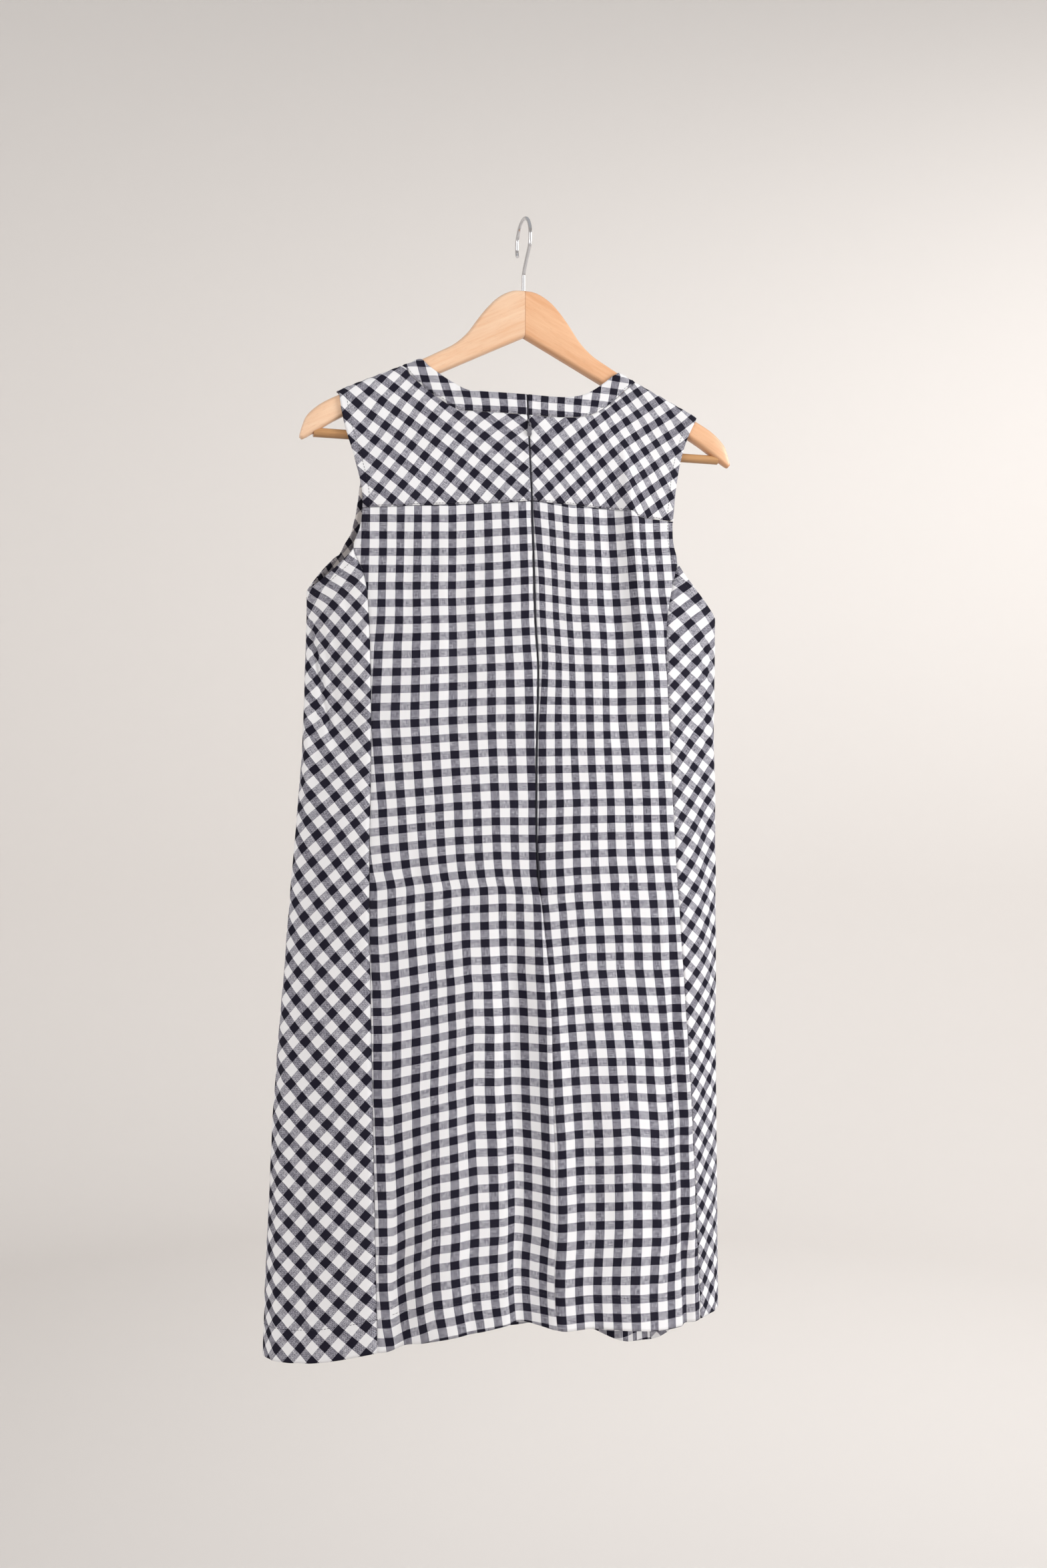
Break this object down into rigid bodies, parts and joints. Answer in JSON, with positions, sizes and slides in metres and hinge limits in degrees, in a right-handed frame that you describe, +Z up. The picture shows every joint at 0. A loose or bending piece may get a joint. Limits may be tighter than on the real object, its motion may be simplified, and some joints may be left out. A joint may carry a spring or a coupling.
{
  "type": "sleeveless linen dress on a wooden hanger",
  "caption": "Sleeveless A-line dress of checked linen with a bias back yoke, banded neck and back zip, hung flat on a wooden hanger with a wire hook.",
  "frame": {"origin": "inside of the hook's loop at its top, where it rests on a rail", "axes": "+Z up, +X to the wearer's right along the hanger's arms, -Y towards the back of the dress, which the picture shows"},
  "size_m": [0.4821, 0.1857, 1.1504],
  "materials": {
    "linen": "matt woven, navy and white check",
    "facing": "matt woven, navy and white check",
    "tape": "matt woven, dark",
    "zip_metal": "satin grey",
    "wood": "satin varnish",
    "bar_wood": "satin varnish",
    "chrome": "polished"
  },
  "bodies": {
    "dress": {"back_yoke_left": "linen", "back_yoke_right": "linen", "back_panel_left": "linen", "back_panel_right": "linen", "side_panel_left": "linen", "side_panel_right": "linen", "front_panel": "linen", "neck_band_back_left": "linen", "neck_band_back_right": "linen", "neck_band_front": "linen", "armhole_facing_left": "facing", "armhole_facing_right": "facing", "zip_tape": "tape", "zip_slider": "zip_metal", "hanger_arm_left": "wood", "hanger_arm_right": "wood", "hanger_bar": "bar_wood", "hanger_hook": "chrome"},
    "zip_pull": {"zip_pull": "zip_metal"}
  },
  "joints": [
    {"name": "zip_pull_swing", "type": "hinge", "parent": "dress", "child": "zip_pull", "pos_m": [0, -0.01975, -0.20608], "axis": [-1, 0, 0], "range_deg": [0, 120]}
  ]
}
